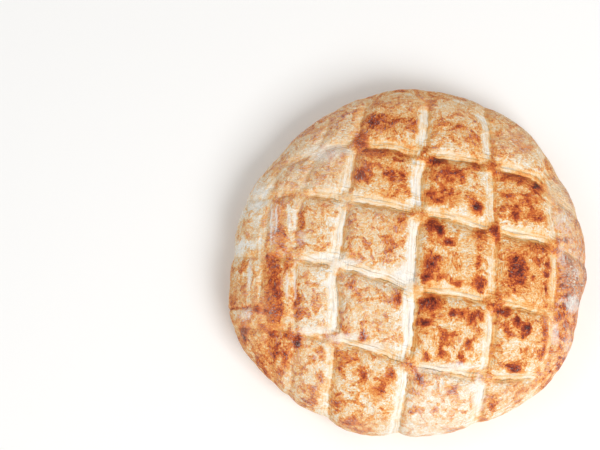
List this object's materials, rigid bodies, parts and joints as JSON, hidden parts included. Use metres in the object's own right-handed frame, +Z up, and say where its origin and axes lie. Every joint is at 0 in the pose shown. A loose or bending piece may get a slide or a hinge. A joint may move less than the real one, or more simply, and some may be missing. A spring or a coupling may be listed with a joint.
{
  "type": "flatbread",
  "caption": "Round, puffed flatbread scored with a grid of press marks, with a flat floor-baked underside.",
  "frame": {"origin": "under the middle of the bread, on the surface it rests on", "axes": "+Z up out of the pressed side, +X along the widest diameter, across the marks of the longer set"},
  "size_m": [0.2002, 0.1973, 0.0478],
  "materials": {
    "crust": "baked wheat crust, cream in the press marks, orange-brown with dark scorch spots on the pillows, dry and satin, with white flour left on it"
  },
  "bodies": {
    "root": {"flatbread": "crust"}
  },
  "joints": []
}
